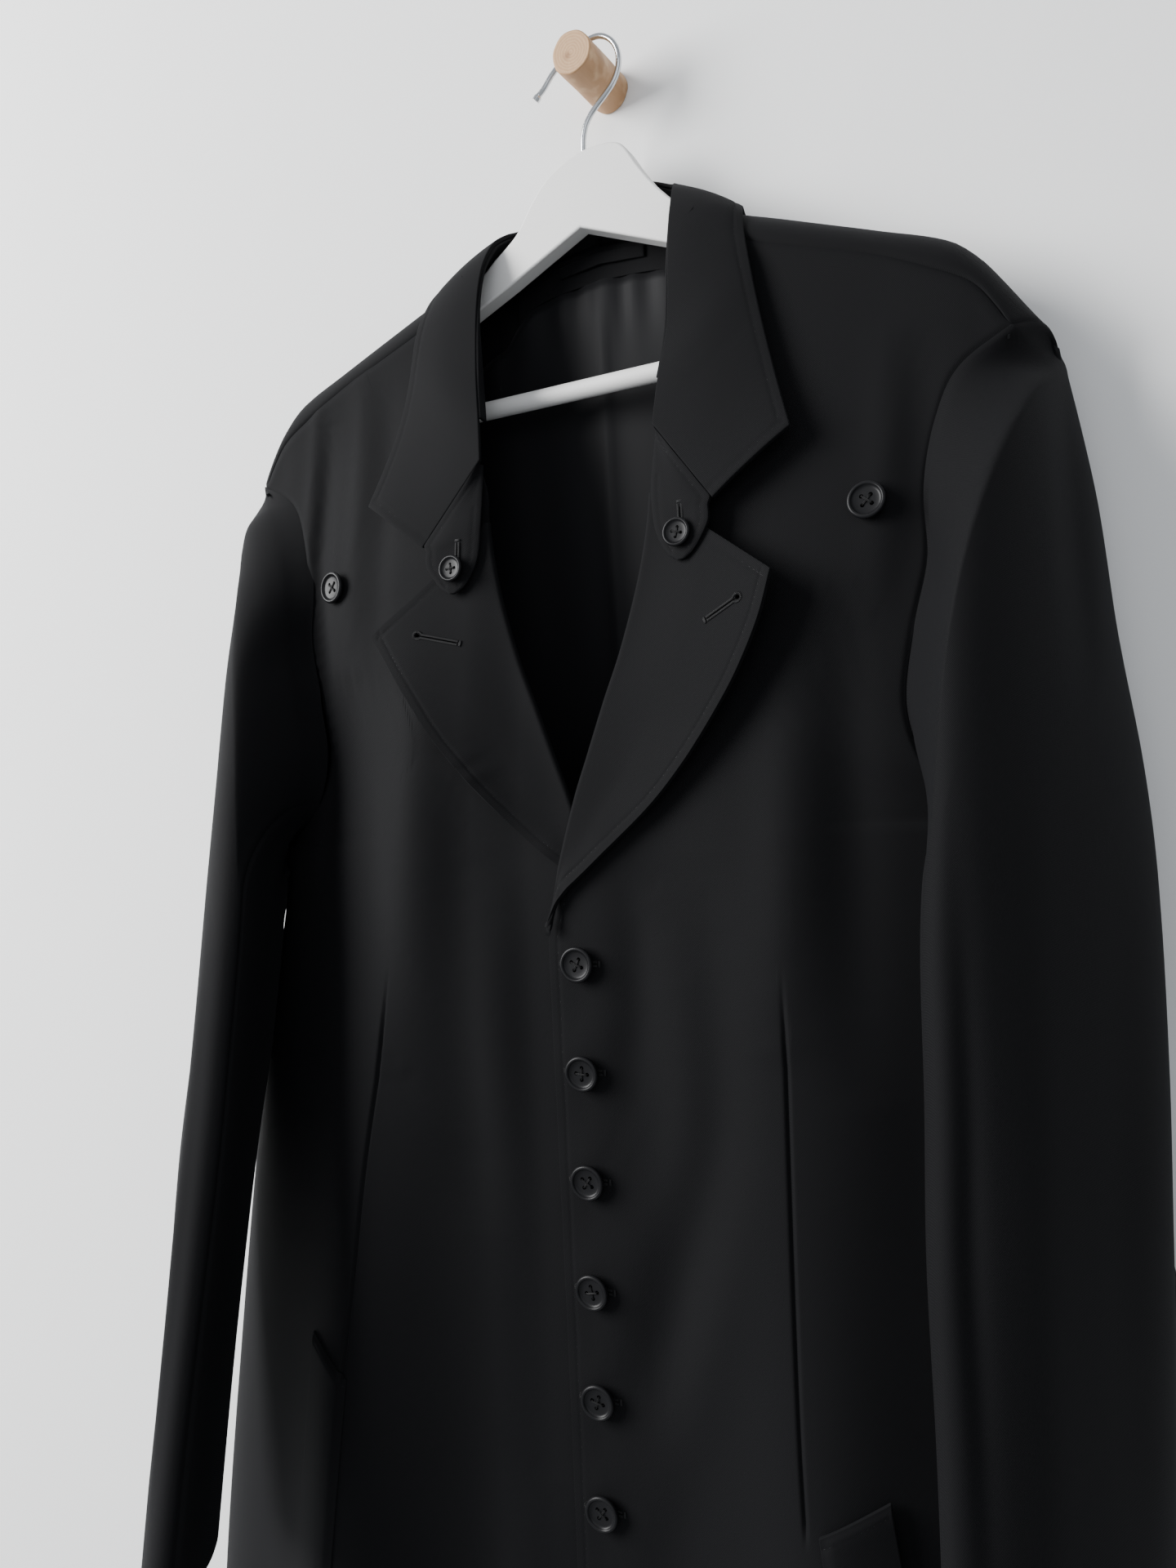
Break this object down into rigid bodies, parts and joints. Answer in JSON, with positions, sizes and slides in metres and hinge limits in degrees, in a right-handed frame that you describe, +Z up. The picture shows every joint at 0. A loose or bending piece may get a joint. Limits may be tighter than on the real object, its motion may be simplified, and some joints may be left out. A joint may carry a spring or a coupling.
{
  "type": "long wool coat on a hanger with a wall peg",
  "caption": "Long single-breasted black wool coat hung on a flat wooden hanger, whose wire hook hangs over a round wooden peg in a wall.",
  "frame": {"origin": "centre of the peg's flat end, where the peg meets the wall", "axes": "+X to the viewer's right along the wall, +Y into the wall, +Z up"},
  "size_m": [0.7, 0.2074, 1.193],
  "materials": {
    "black_wool": "fine black wool twill, matte with a faint sheen",
    "dark_satin_lining": "dark charcoal satin lining, soft sheen",
    "white_painted_wood": "white paint, semi-matte",
    "chromed_wire": "polished wire",
    "peeled_branch_wood": "peeled branch, unvarnished",
    "black_polyester_button": "dark semi-gloss polyester"
  },
  "bodies": {
    "root": {"back_left": "black_wool", "back_lining": "dark_satin_lining", "back_right": "black_wool", "chest_button_left": "black_polyester_button", "chest_button_right": "black_polyester_button", "collar_fall": "black_wool", "collar_stand": "black_wool", "collar_tab_left": "black_wool", "collar_tab_right": "black_wool", "front_button_1": "black_polyester_button", "front_button_2": "black_polyester_button", "front_button_3": "black_polyester_button", "front_button_4": "black_polyester_button", "front_button_5": "black_polyester_button", "front_button_6": "black_polyester_button", "front_left": "black_wool", "front_right": "black_wool", "hanger_bar": "white_painted_wood", "hanger_body": "white_painted_wood", "hanger_hook": "chromed_wire", "lapel_left": "black_wool", "lapel_right": "black_wool", "neck_facing": "black_wool", "neck_loop": "black_wool", "pocket_welt_left": "black_wool", "pocket_welt_right": "black_wool", "sleeve_under_left": "black_wool", "sleeve_under_right": "black_wool", "sleeve_upper_left": "black_wool", "sleeve_upper_right": "black_wool", "tab_button_left": "black_polyester_button", "tab_button_right": "black_polyester_button", "wall_peg": "peeled_branch_wood"}
  },
  "joints": []
}
